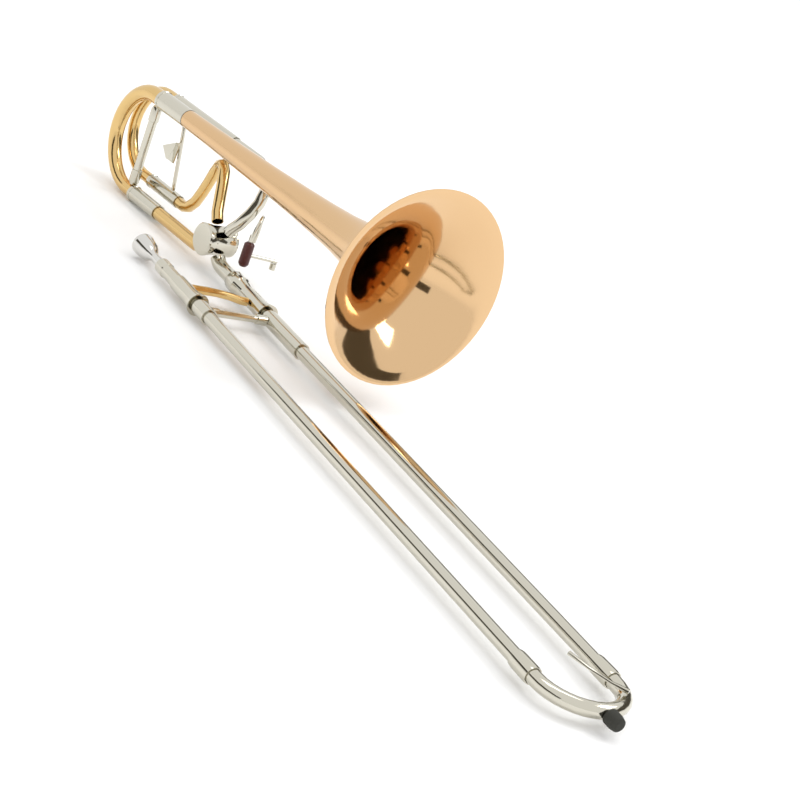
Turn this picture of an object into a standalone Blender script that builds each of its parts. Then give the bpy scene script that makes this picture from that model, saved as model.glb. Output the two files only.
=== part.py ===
"""Tenor trombone with F attachment: slide closed, lying flat on its slide. Metres, +Z up, +X to the slide bow."""
import math

import bmesh
import bpy
from mathutils import Matrix, Vector

for old in list(bpy.data.objects):
    bpy.data.objects.remove(old, do_unlink=True)

MM = 0.001
GAP = 0.3
# Moves the drawing's origin to the middle of the footprint, on the floor
ORIGIN = Vector((-210.5256, -65.8381, 15.4598))

# Hand slide, along X, centre lines at half the spread either side of Y = 0
SLIDE_HALF = 43.0
OUTER_R = 7.4
OUTER_BORE = 6.9
INNER_R = 6.4
INNER_BORE = 5.9
OUTER_START = 22.0
OUTER_END = 722.0
BARREL_BACK = -22.0
BARREL_FRONT = 32.0
BOW_X = 741.0

# Bell section: its axis leaves the slide by a few degrees, as in the photo
JOINT = Vector((-120.9, SLIDE_HALF, 0.0))
BELL_YAW = math.radians(6.2)
BELL_PITCH = math.radians(1.73)
LEG_SPREAD = 117.0
RIM_S = 342.0
RIM_R = 108.0
TUNING_S = -196.0
SLEEVE_BACK = -181.0
SLEEVE_FRONT = -121.0
LEG_R = 7.9
BOW_LOW_R = 7.7
BOW_HIGH_R = 9.7

# F attachment, on the far side of the bell tube
F_OFF = 22.0
F_LOW = 17.0
F_HIGH = 118.0
F_R = 6.8
F_BOW_S = -205.0

# Rotary valve, its axis across the bell plane
VALVE_S = 3.0
VALVE_U = 20.0
CASING_R = 17.5
CASING_BORE = 15.2
CASING_HALF = 17.0

ALONG = Vector((math.cos(BELL_PITCH) * math.cos(BELL_YAW), math.cos(BELL_PITCH) * math.sin(BELL_YAW),
                math.sin(BELL_PITCH)))
SIDE = Vector((0, 0, 1)).cross(ALONG).normalized()
UP = ALONG.cross(SIDE)


def at(s, u, off=0.0):
    """Point of the bell section: along the bell, up towards it, and to its far side."""
    return JOINT + ALONG * s + UP * u + SIDE * off


def metal(name, colour, rough=0.25, metallic=1.0):
    mat = bpy.data.materials.new(name)
    mat.use_nodes = True
    shader = mat.node_tree.nodes["Principled BSDF"]
    shader.inputs["Base Color"].default_value = (*colour, 1)
    shader.inputs["Roughness"].default_value = rough
    shader.inputs["Metallic"].default_value = metallic
    return mat


NICKEL = (0.62, 0.60, 0.54)
BRASS = (0.75, 0.55, 0.25)
GOLD_BRASS = (0.74, 0.48, 0.27)
SILVER = (0.80, 0.79, 0.76)
PADDLE = (0.09, 0.02, 0.015)
RUBBER = (0.03, 0.03, 0.025)


def add(name, bm, colour, origin=Vector((0, 0, 0)), **look):
    """Keep a mesh as one named object; its origin is the given point in millimetres."""
    bmesh.ops.recalc_face_normals(bm, faces=bm.faces)
    for vert in bm.verts:
        vert.co = (vert.co - origin) * MM
    mesh = bpy.data.meshes.new(name)
    bm.to_mesh(mesh)
    bm.free()
    for poly in mesh.polygons:
        poly.use_smooth = True
    mesh.materials.append(metal(name, colour, **look))
    obj = bpy.data.objects.new(name, mesh)
    obj.location = (origin + ORIGIN) * MM
    bpy.context.collection.objects.link(obj)
    return obj


def frame_along(axis):
    """Two directions square to an axis."""
    axis = axis.normalized()
    first = Vector((0, 0, 1)).cross(axis)
    if first.length < 0.1:
        first = Vector((0, 1, 0)).cross(axis)
    first.normalize()
    return first, axis.cross(first)


def ring_loft(bm, rings, closed):
    """Skin rings of vertices; closed joins the last ring to the first, otherwise both ends are capped."""
    count = len(rings[0])
    pairs = list(zip(rings, rings[1:]))
    if closed:
        pairs.append((rings[-1], rings[0]))
    for low, high in pairs:
        for i in range(count):
            j = (i + 1) % count
            bm.faces.new((low[i], low[j], high[j], high[i]))
    if not closed:
        bm.faces.new(rings[0])
        bm.faces.new(list(reversed(rings[-1])))


def turned(name, base, axis, profile, colour, hollow=True, sides=20, origin=None, **look):
    """A turned piece: profile of (distance along the axis, radius); hollow profiles close on themselves."""
    bm = bmesh.new()
    axis = axis.normalized()
    first, second = frame_along(axis)
    rings = []
    for along, radius in profile:
        rings.append([bm.verts.new(base + axis * along + (first * math.cos(a) + second * math.sin(a)) * radius)
                      for a in (2 * math.pi * i / sides for i in range(sides))])
    ring_loft(bm, rings, hollow)
    return add(name, bm, colour, origin or Vector((0, 0, 0)), **look)


def swept(name, path, outer, colour, wall=0.0, sides=12, origin=None, **look):
    """A round tube or rod along a path; outer is one radius or one per point, wall 0 makes it solid."""
    bm = bmesh.new()
    count = len(path)
    radii = outer if isinstance(outer, list) else [outer] * count
    first, second = frame_along(path[1] - path[0])
    outside, inside = [], []
    for i, point in enumerate(path):
        tangent = (path[min(i + 1, count - 1)] - path[max(i - 1, 0)]).normalized()
        first = (first - tangent * first.dot(tangent)).normalized()
        second = tangent.cross(first)
        for rings, radius in ((outside, radii[i]), (inside, radii[i] - wall)):
            if rings is inside and not wall:
                continue
            rings.append([bm.verts.new(point + (first * math.cos(a) + second * math.sin(a)) * radius)
                          for a in (2 * math.pi * k / sides for k in range(sides))])
    rings = outside + list(reversed(inside)) if wall else outside
    ring_loft(bm, rings, bool(wall))
    return add(name, bm, colour, origin or Vector((0, 0, 0)), **look)


def pipe_profile(start, end, radius, bore):
    return [(start, radius), (end, radius), (end, bore), (start, bore)]


X = Vector((1, 0, 0))


def hand_slide():
    for label, side in (("left", -1), ("right", 1)):
        base = Vector((0, side * SLIDE_HALF, 0))
        back = -38.0 if side < 0 else -50.0
        turned("inner_tube_" + label, base, X, pipe_profile(back, 715, INNER_R, INNER_BORE), NICKEL)
        turned("outer_tube_" + label, base, X, pipe_profile(OUTER_START, OUTER_END, OUTER_R, OUTER_BORE), NICKEL)
        bore, mouth = INNER_R + GAP, OUTER_R + 0.5
        turned("cork_barrel_" + label, base, X,
               [(BARREL_BACK, bore), (BARREL_BACK, 9.5), (18, 10), (28, 12), (BARREL_FRONT, 12.6),
                (BARREL_FRONT, mouth), (OUTER_START - 2, mouth), (OUTER_START - 2, bore)], NICKEL, sides=24)
        sleeve_end = 62.0 if side < 0 else 118.0
        turned("brace_sleeve_" + label, base, X, pipe_profile(36, sleeve_end, 9.2, OUTER_R + GAP), NICKEL, sides=24)
        turned("bow_ferrule_" + label, base, X,
               [(708, 8.6), (712, 9.1), (733, 9.1), (736, 8.6), (736, OUTER_R + GAP), (708, OUTER_R + GAP)], NICKEL)
    bend = [Vector((OUTER_END + 0.5, -SLIDE_HALF, 0))]
    for i in range(17):
        turn = -math.pi / 2 + math.pi * i / 16
        bend.append(Vector((BOW_X + SLIDE_HALF * math.cos(turn), SLIDE_HALF * math.sin(turn), 0)))
    bend.append(Vector((OUTER_END + 0.5, SLIDE_HALF, 0)))
    swept("slide_bow", bend, OUTER_R, NICKEL, wall=0.7, sides=16)
    turned("bumper", Vector((0, 2, 0)), X, [(BOW_X + SLIDE_HALF + OUTER_R + 0.4, 7.6), (800, 7.6), (805, 6.6),
                                            (807, 4.0)], RUBBER, hollow=False, rough=0.7, metallic=0.0)
    reach = SLIDE_HALF - 9.2 - GAP
    swept("outer_brace", [Vector((46, y, 0)) for y in (-reach, -reach + 8, -reach + 8.5, reach - 12, reach - 11.5, reach)],
          [5.4, 5.4, 4.2, 4.2, 5.6, 5.6], NICKEL, sides=16)
    reach = SLIDE_HALF - 10.4
    curve = [(-12, -reach), (-12, -14), (-11, 0), (-7, 14), (0, 25), (1, reach - 0.4)]
    swept("inner_brace", [Vector((x, y, 0)) for x, y in curve], [4.8, 4.8, 4.4, 4.4, 4.6, 4.8], BRASS, sides=16)
    key = [Vector((712, 6, 10.5)), Vector((735, 12, 10.8)), Vector((757, 22, 10.8)), Vector((770, 32, 10.8))]
    swept("water_key", key, [2.2, 1.6, 1.6, 2.6], NICKEL, sides=10, origin=Vector((735, 12, 10.8)))


def mouth_end():
    base = Vector((0, -SLIDE_HALF, 0))
    turned("receiver", base, X, [(-66, 8.8), (-52, 8.8), (-51, 8.0), (BARREL_BACK - 0.5, 8.0),
                                 (BARREL_BACK - 0.5, 6.8), (-66, 6.8)], NICKEL, sides=24)
    cup = [(-122, 9.5), (-123, 11), (-122, 12.7), (-118, 12.8), (-115, 12.2), (-104, 11.2), (-96, 8.0), (-92, 5.2),
           (-84, 5.0), (-67, 6.4), (-44, 6.1), (-44, 4.5), (-80, 3.2), (-92, 2.6), (-98, 4.6), (-106, 8.4), (-116, 9.4)]
    turned("mouthpiece", base, X, cup, SILVER, sides=32, origin=Vector((-44, -SLIDE_HALF, 0)), rough=0.12)


def neck():
    base = Vector((0, SLIDE_HALF, 0))
    turned("bell_lock_nut", base, X, [(-58, 10.2), (-56, 11.6), (-40, 11.6), (-38, 10.0), (BARREL_BACK - 0.5, 9.0),
                                      (BARREL_BACK - 0.5, 6.8), (-52, 6.8), (-52, 9.2), (-58, 9.2)], NICKEL, sides=24)
    valve = at(VALVE_S, VALVE_U)
    end = valve + Vector((14.4, -0.5, -14.4))
    path = [Vector((-53, SLIDE_HALF, 0)), Vector((-90, SLIDE_HALF, 0)), Vector((-96, SLIDE_HALF, 0.8)),
            Vector((-101, SLIDE_HALF, 3)), end]
    swept("neckpipe", path, 8.4, NICKEL, wall=1.0, sides=16)


def valve_group():
    centre = at(VALVE_S, VALVE_U)
    turned("valve_casing", centre, SIDE,
           [(-CASING_HALF, CASING_BORE), (-CASING_HALF, CASING_R), (-12, CASING_R), (-11, CASING_R - 0.7),
            (11, CASING_R - 0.7), (12, CASING_R), (CASING_HALF, CASING_R), (CASING_HALF, 3.2), (14, 3.2),
            (14, CASING_BORE)], NICKEL, sides=32)
    turned("rotor", centre, SIDE, [(-14, 14.6), (13.4, 14.6), (13.5, 2.6), (20, 2.6)], BRASS, hollow=False, sides=24,
           origin=centre)
    turned("valve_cap", centre, SIDE, [(-CASING_HALF - 0.4, 18.6), (-CASING_HALF - 3, 18.6), (-CASING_HALF - 4.4, 17.2),
                                       (-CASING_HALF - 4.8, 6)], NICKEL, hollow=False, sides=32)
    swept("stop_arm", [centre + SIDE * 20.4, centre + SIDE * 21.5, centre + SIDE * 24], [7.0, 7.0, 3.0], NICKEL,
          origin=centre)
    post = [at(27, u, 26) for u in (4, 40)]
    swept("lever_post", post, 2.6, NICKEL)
    arch = [(33.2, 34, 26), (36, 48, 25), (41, 62, 21), (48, 70, 16), (55, 71, 10), (60, 64, 4), (61, 54, 1), (61, 44, 0)]
    swept("trigger_lever", [at(*point) for point in arch], 2.1, NICKEL, sides=10, origin=at(27, 34, 26))
    swept("trigger_paddle", [at(61, u) for u in (43.4, 41, 18, 15)], [3.5, 6.0, 6.0, 3.8], PADDLE, sides=14,
          origin=at(27, 34, 26), rough=0.3, metallic=0.0)
    swept("rest_rod", [at(32.5, 18, 24), at(38, 16, 62)], 2.2, NICKEL)
    swept("rest_knob", [at(37.5, 13.4, 59), at(37.5, 6, 59)], 3.6, NICKEL, sides=10)


def bell_tubes():
    length = (SLEEVE_FRONT - SLEEVE_BACK)
    for label, u, radius in (("lower", 0.0, BOW_LOW_R), ("upper", LEG_SPREAD, BOW_HIGH_R)):
        bore = radius + 0.5
        turned("tuning_sleeve_" + label, at(SLEEVE_BACK, u), ALONG,
               [(0, bore), (0, bore + 1.8), (3, bore + 1.8), (3.5, bore + 1.0), (length, bore + 1.0), (length, bore)],
               NICKEL, sides=24)
    half = LEG_SPREAD / 2
    path, radii = [at(-135, 0)], [BOW_LOW_R]
    for i in range(21):
        turn = math.pi * i / 20
        path.append(at(TUNING_S - half * math.sin(turn), half - half * math.cos(turn)))
        radii.append(BOW_LOW_R + (BOW_HIGH_R - BOW_LOW_R) * i / 20)
    path.append(at(-135, LEG_SPREAD))
    radii.append(BOW_HIGH_R)
    swept("tuning_bow", path, radii, BRASS, wall=1.0, sides=20)
    low, high = BOW_LOW_R + 1.0, LEG_SPREAD - BOW_HIGH_R - 1.0
    turned("bow_brace", at(-188, 0), UP, [(low, 4.6), (low + 4, 6.2), (low + 18, 6.2), (low + 18.5, 5.2), (high - 18.5, 5.2),
                                          (high - 18, 6.2), (high - 4, 6.2), (high, 5)], NICKEL, hollow=False, sides=16)
    swept("lower_leg", [at(SLEEVE_FRONT + 0.5, 0), at(-32, 0), at(-22, 2), at(-12, 7)], LEG_R, BRASS, wall=1.0, sides=20)
    swept("front_brace", [at(-126, LEG_SPREAD - 11.8, 1), at(-134, F_LOW + 9.2, F_OFF - 3)], 2.3, NICKEL, sides=10)


def folded_plate():
    bm = bmesh.new()
    outline = [(-149, 73.5, -1), (-132, 84, 3.5), (-117, 89, -1), (-119, 63, -1), (-133, 61, 3.5), (-137, 62, 0)]
    front = [bm.verts.new(at(s, u, off - 3)) for s, u, off in outline]
    back = [bm.verts.new(at(s, u, off - 1.6)) for s, u, off in outline]
    ring_loft(bm, [front, back], False)
    bmesh.ops.triangulate(bm, faces=bm.faces)
    add("brace_plate", bm, NICKEL)


def f_attachment():
    s_bend = [(-8, 38.5, 0), (-16, 46, 2), (-24, 60, 5), (-32, 75, 8), (-40, 87, 11), (-50, 92, 14), (-60, 88, 17),
              (-69, 76, 20), (-76, 60, 21.5), (-82, 46, F_OFF), (-89, 31, F_OFF), (-98, 21, F_OFF), (-108, F_LOW, F_OFF),
              (-119.5, F_LOW, F_OFF)]
    swept("f_bend", [at(*point) for point in s_bend], F_R, BRASS, wall=0.9, sides=16)
    for label, u, front in (("lower", F_LOW, -120.0), ("upper", F_HIGH, -52.0)):
        base = at(SLEEVE_BACK - 4, u, F_OFF)
        length = front - (SLEEVE_BACK - 4)
        bore = F_R + 0.4
        turned("f_sleeve_" + label, base, ALONG,
               [(0, bore), (0, bore + 1.3), (3, bore + 1.3), (3.5, bore + 0.7), (length, bore + 0.7), (length, bore)],
               NICKEL, sides=16)
    half = (F_HIGH - F_LOW) / 2
    middle = (F_HIGH + F_LOW) / 2
    path = [at(-140, F_LOW, F_OFF)]
    for i in range(17):
        turn = math.pi * i / 16
        path.append(at(F_BOW_S - half * math.sin(turn), middle - half * math.cos(turn), F_OFF))
    path.append(at(-80, F_HIGH, F_OFF))
    swept("f_bow", path, F_R, BRASS, wall=0.9, sides=16)
    back = [(-51.5, F_HIGH, F_OFF), (0, F_HIGH, F_OFF), (13, 115, F_OFF + 0.5), (25, 106, F_OFF), (31, 94, 20), (33, 80, 16),
            (32, 66, 10), (27, 51, 4), (20, 41, 1), (17.5, 35.5, 0)]
    swept("f_return", [at(*point) for point in back], F_R, NICKEL, wall=0.9, sides=16)


def bell():
    shape = [(-120.5, 10.8), (-60, 11.8), (0, 13.3), (60, 15.2), (120, 17.6), (170, 20.2), (210, 23.2), (240, 27.2),
             (265, 32.6), (285, 40), (302, 50.5), (316, 63.5), (328, 80), (336, 94), (RIM_S, RIM_R)]
    wall = 0.8
    rim = [(RIM_S + 1.6, RIM_R + 0.4), (RIM_S + 1.8, RIM_R - 1.4)]
    inside = [(s + wall if s > 240 else s, r - wall) for s, r in reversed(shape[:-1])]
    turned("bell", at(0, LEG_SPREAD), ALONG, shape + rim + inside, GOLD_BRASS, sides=64)


hand_slide()
mouth_end()
neck()
valve_group()
bell_tubes()
folded_plate()
f_attachment()
bell()
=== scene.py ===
"""Tenor trombone with F attachment, seen as in the photo."""
import math

import bpy
from mathutils import Matrix, Vector

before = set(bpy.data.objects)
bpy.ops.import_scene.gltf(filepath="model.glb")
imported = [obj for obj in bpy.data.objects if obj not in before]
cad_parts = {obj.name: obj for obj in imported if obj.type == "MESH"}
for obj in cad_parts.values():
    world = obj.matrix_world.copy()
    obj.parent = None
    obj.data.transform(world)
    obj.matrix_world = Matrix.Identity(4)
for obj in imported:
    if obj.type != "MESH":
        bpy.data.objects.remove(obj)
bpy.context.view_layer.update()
print("stage: frame loaded")

# Photo camera, fitted to the slide tubes, the rear bow, the tuning legs and the bell rim; its up follows from the
# right and back directions. Lengths are in metres, lens and sensor in millimetres.
cameraSettings = {
    "location": (1.8554744, -1.3338381, 0.8314598),
    "right": (0.459, 0.818, 0.346),
    "back": (0.756, -0.564, 0.332),
    "lens": 106.9,
    "sensor": 36.0,
    "clip": (0.1, 60.0),
}
# Polished metals: wear is how far the roughness strays either way
metalSettings = {
    "goldBrass": {"colour": "#DDB98D", "roughness": 0.09, "wear": 0.03},
    "yellowBrass": {"colour": "#DDBC80", "roughness": 0.10, "wear": 0.03},
    "nickelSilver": {"colour": "#CFCBBD", "roughness": 0.09, "wear": 0.03},
    "silverPlate": {"colour": "#D9D7D2", "roughness": 0.07, "wear": 0.02},
}
plainSettings = {
    "darkRedLacquer": {"colour": "#4A1712", "roughness": 0.28},
    "blackRubber": {"colour": "#2E2E27", "roughness": 0.75},
}
pieceMaterials = {
    "goldBrass": ["bell"],
    "yellowBrass": ["tuning_bow", "f_bow", "f_bend", "lower_leg", "inner_brace", "rotor"],
    "silverPlate": ["mouthpiece"],
    "darkRedLacquer": ["trigger_paddle"],
    "blackRubber": ["bumper"],
}
nickelPieces = [
    "bell_lock_nut", "bow_brace", "bow_ferrule_left", "bow_ferrule_right", "brace_plate", "brace_sleeve_left",
    "brace_sleeve_right", "cork_barrel_left", "cork_barrel_right", "f_return", "f_sleeve_lower", "f_sleeve_upper",
    "front_brace", "inner_tube_left", "inner_tube_right", "lever_post", "neckpipe", "outer_brace",
    "outer_tube_left", "outer_tube_right", "receiver", "rest_knob", "rest_rod", "slide_bow", "stop_arm",
    "trigger_lever", "tuning_sleeve_lower", "tuning_sleeve_upper", "valve_cap", "valve_casing", "water_key",
]
noiseSettings = {"scale": 60.0, "detail": 4.0}
smoothSettings = {"mergeWithin": 0.000001, "sharpOver": 35.0}
# Lamps and cards are turned to face their target
lampTarget = (0.0, 0.0, 0.05)
cardTarget = (0.1, 0.0, 0.1)
lampSettings = [
    {"name": "keySoftbox", "location": (0.7, 1.6, 2.1), "size": (1.2, 0.8), "watts": 15.0},
    {"name": "topSoftbox", "location": (-0.3, 0.1, 2.3), "size": (1.6, 0.7), "watts": 6.0},
]
worldSettings = {"colour": "#FFFFFF", "strength": 1.0}
floorSettings = {"size": 40.0, "colour": "#FFFFFF", "roughness": 0.9}
cardFinish = {"colour": "#4A463D", "roughness": 0.9}
renderSettings = {"samples": 96, "pixels": 800}
cardSettings = [
    {"name": "darkCardFront", "location": (-0.1, -1.7, 0.55), "size": (3.6, 0.55)},
    {"name": "darkCardBack", "location": (0.0, 1.9, 0.7), "size": (5.0, 0.9)},
]


def linearColour(hexText):
    """An sRGB hex colour as linear RGBA."""
    values = [int(hexText[i:i + 2], 16) / 255 for i in (1, 3, 5)]
    return tuple(v / 12.92 if v <= 0.04045 else ((v + 0.055) / 1.055) ** 2.4 for v in values) + (1.0,)


def aimAt(obj, target):
    direction = Vector(target) - obj.location
    obj.rotation_euler = direction.to_track_quat("-Z", "Y").to_euler()


def newMaterial(name):
    material = bpy.data.materials.new(name)
    material.use_nodes = True
    return material, material.node_tree, material.node_tree.nodes["Principled BSDF"]


def metalMaterial(name, settings):
    """Polished metal whose gloss varies a little, from noise on the object's own coordinates."""
    material, tree, shader = newMaterial(name)
    shader.inputs["Base Color"].default_value = linearColour(settings["colour"])
    shader.inputs["Metallic"].default_value = 1.0
    coords = tree.nodes.new("ShaderNodeTexCoord")
    noise = tree.nodes.new("ShaderNodeTexNoise")
    noise.inputs["Scale"].default_value = noiseSettings["scale"]
    noise.inputs["Detail"].default_value = noiseSettings["detail"]
    spread = tree.nodes.new("ShaderNodeMapRange")
    spread.inputs["To Min"].default_value = settings["roughness"] - settings["wear"]
    spread.inputs["To Max"].default_value = settings["roughness"] + settings["wear"]
    tree.links.new(coords.outputs["Object"], noise.inputs["Vector"])
    tree.links.new(noise.outputs["Fac"], spread.inputs["Value"])
    tree.links.new(spread.outputs["Result"], shader.inputs["Roughness"])
    return material


def plainMaterial(name, settings):
    material, _, shader = newMaterial(name)
    shader.inputs["Base Color"].default_value = linearColour(settings["colour"])
    shader.inputs["Roughness"].default_value = settings["roughness"]
    return material


def smoothNodes():
    """Curved pieces shade smoothly, and edges over the sharp angle stay sharp; the CAD's vertices aren't touched."""
    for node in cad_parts.values():
        mesh = node.data
        for layer in ("custom_normal", "sharp_edge", "sharp_face"):
            if layer in mesh.attributes:
                mesh.attributes.remove(mesh.attributes[layer])
        for face in mesh.polygons:
            face.use_smooth = True
        weld = node.modifiers.new("joinFacets", "WELD")
        weld.merge_threshold = smoothSettings["mergeWithin"]
        split = node.modifiers.new("keepEdges", "EDGE_SPLIT")
        split.split_angle = math.radians(smoothSettings["sharpOver"])
    print("stage: smooth shading on", len(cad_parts), "nodes")


def paintNodes():
    made = {name: metalMaterial(name, settings) for name, settings in metalSettings.items()}
    made.update({name: plainMaterial(name, settings) for name, settings in plainSettings.items()})
    chosen = {node: "nickelSilver" for node in nickelPieces}
    for name, nodes in pieceMaterials.items():
        chosen.update({node: name for node in nodes})
    for node, name in chosen.items():
        obj = bpy.data.objects[node]
        if not obj.material_slots:
            obj.data.materials.append(made[name])
        for slot in obj.material_slots:
            slot.material = made[name]
    print("stage: materials on", len(chosen), "nodes")


def buildFloor():
    bpy.ops.mesh.primitive_plane_add(size=floorSettings["size"], location=(0, 0, 0))
    floor = bpy.context.object
    floor.name = "whiteFloor"
    floor.data.materials.append(plainMaterial("whitePaper", floorSettings))
    return floor


def buildCards():
    """Dark cards seen only in reflections, for the dark stripes along the tubes."""
    cards = []
    dark = plainMaterial("blackCard", cardFinish)
    for settings in cardSettings:
        bpy.ops.mesh.primitive_plane_add(size=1.0, location=settings["location"])
        card = bpy.context.object
        card.name = settings["name"]
        card.scale = (settings["size"][0], settings["size"][1], 1.0)
        card.data.materials.append(dark)
        card.visible_camera = False
        card.visible_shadow = False
        card.visible_diffuse = False
        aimAt(card, cardTarget)
        cards.append(card)
    return cards


def buildLamps():
    lamps = []
    for settings in lampSettings:
        light = bpy.data.lights.new(settings["name"], "AREA")
        light.shape = "RECTANGLE"
        light.size, light.size_y = settings["size"]
        light.energy = settings["watts"]
        lamp = bpy.data.objects.new(settings["name"], light)
        lamp.location = settings["location"]
        bpy.context.scene.collection.objects.link(lamp)
        aimAt(lamp, lampTarget)
        lamps.append(lamp)
    return lamps


def buildWorld():
    world = bpy.data.worlds.new("whiteStudio")
    world.use_nodes = True
    background = world.node_tree.nodes["Background"]
    background.inputs["Color"].default_value = linearColour(worldSettings["colour"])
    background.inputs["Strength"].default_value = worldSettings["strength"]
    bpy.context.scene.world = world


def buildCamera():
    data = bpy.data.cameras.new("photoCamera")
    data.lens = cameraSettings["lens"]
    data.sensor_width = cameraSettings["sensor"]
    data.sensor_fit = "HORIZONTAL"
    data.clip_start, data.clip_end = cameraSettings["clip"]
    camera = bpy.data.objects.new("photoCamera", data)
    back = Vector(cameraSettings["back"]).normalized()
    right = Vector(cameraSettings["right"])
    right = (right - back * right.dot(back)).normalized()
    up = back.cross(right)
    turn = Matrix((right, up, back)).transposed().to_4x4()
    camera.matrix_world = Matrix.Translation(cameraSettings["location"]) @ turn
    bpy.context.scene.collection.objects.link(camera)
    bpy.context.scene.camera = camera


smoothNodes()
paintNodes()
buildFloor()
buildCards()
buildLamps()
buildWorld()
buildCamera()
print("stage: studio and camera set")

scene = bpy.context.scene
scene.render.engine = "CYCLES"
scene.cycles.samples = renderSettings["samples"]
scene.render.resolution_x = renderSettings["pixels"]
scene.render.resolution_y = renderSettings["pixels"]
scene.view_settings.view_transform = "Standard"
